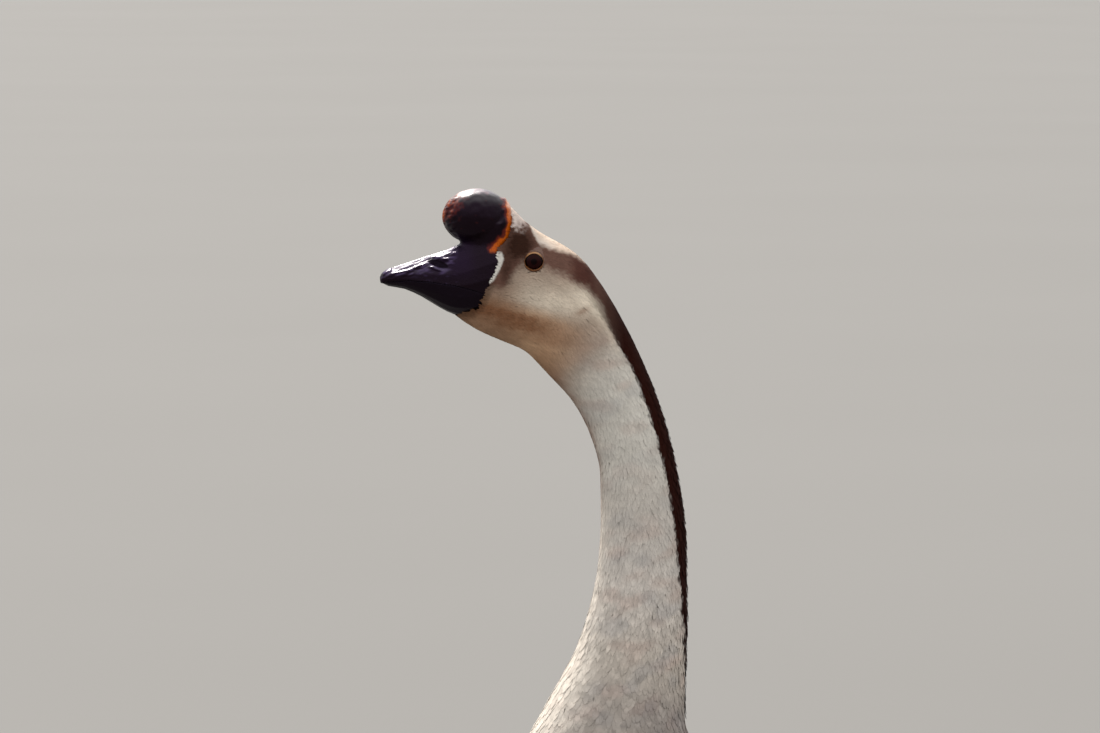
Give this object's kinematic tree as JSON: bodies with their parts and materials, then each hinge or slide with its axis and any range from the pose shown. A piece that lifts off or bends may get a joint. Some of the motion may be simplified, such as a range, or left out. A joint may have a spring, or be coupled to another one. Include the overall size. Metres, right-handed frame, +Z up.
{
  "type": "domestic goose",
  "caption": "Life-size still model of an adult brown Chinese goose standing alert, with a black knobbed bill and its head turned to one side.",
  "frame": {"origin": "on the floor between the feet, at the middle of the bounding box's base", "axes": "+Z up, -X the way the body faces, -Y the bird's left side; the head and the upper neck are turned 22 degrees to the bird's right"},
  "size_m": [0.5781, 0.2204, 0.7802],
  "materials": {
    "plumage_pale": "soft pale buff-grey feathers with a dark brown stripe down the back of the neck",
    "plumage_brown": "grey-brown feathers with pale buff edges, paler on the breast",
    "plumage_white": "white feathers, brown along the middle of the tail",
    "bill_black": "glossy black horn and skin, orange where the knob meets the forehead",
    "eye_dark": "wet dark brown eye",
    "leg_orange": "scaly orange skin",
    "claw_dark": "dark horn"
  },
  "bodies": {
    "root": {"head": "plumage_pale", "neck_upper": "plumage_pale", "neck_middle": "plumage_pale", "neck_lower": "plumage_pale", "trunk": "plumage_brown", "tail": "plumage_white", "wing_left": "plumage_brown", "wing_right": "plumage_brown", "wing_tip_left": "plumage_brown", "wing_tip_right": "plumage_brown", "thigh_left": "plumage_white", "thigh_right": "plumage_white", "knob": "bill_black", "bill_upper": "bill_black", "bill_lower": "bill_black", "eye_left": "eye_dark", "eye_right": "eye_dark", "shank_left": "leg_orange", "shank_right": "leg_orange", "foot_left": "leg_orange", "foot_right": "leg_orange", "claw_left_1": "claw_dark", "claw_left_2": "claw_dark", "claw_left_3": "claw_dark", "claw_left_4": "claw_dark", "claw_right_1": "claw_dark", "claw_right_2": "claw_dark", "claw_right_3": "claw_dark", "claw_right_4": "claw_dark"}
  },
  "joints": []
}
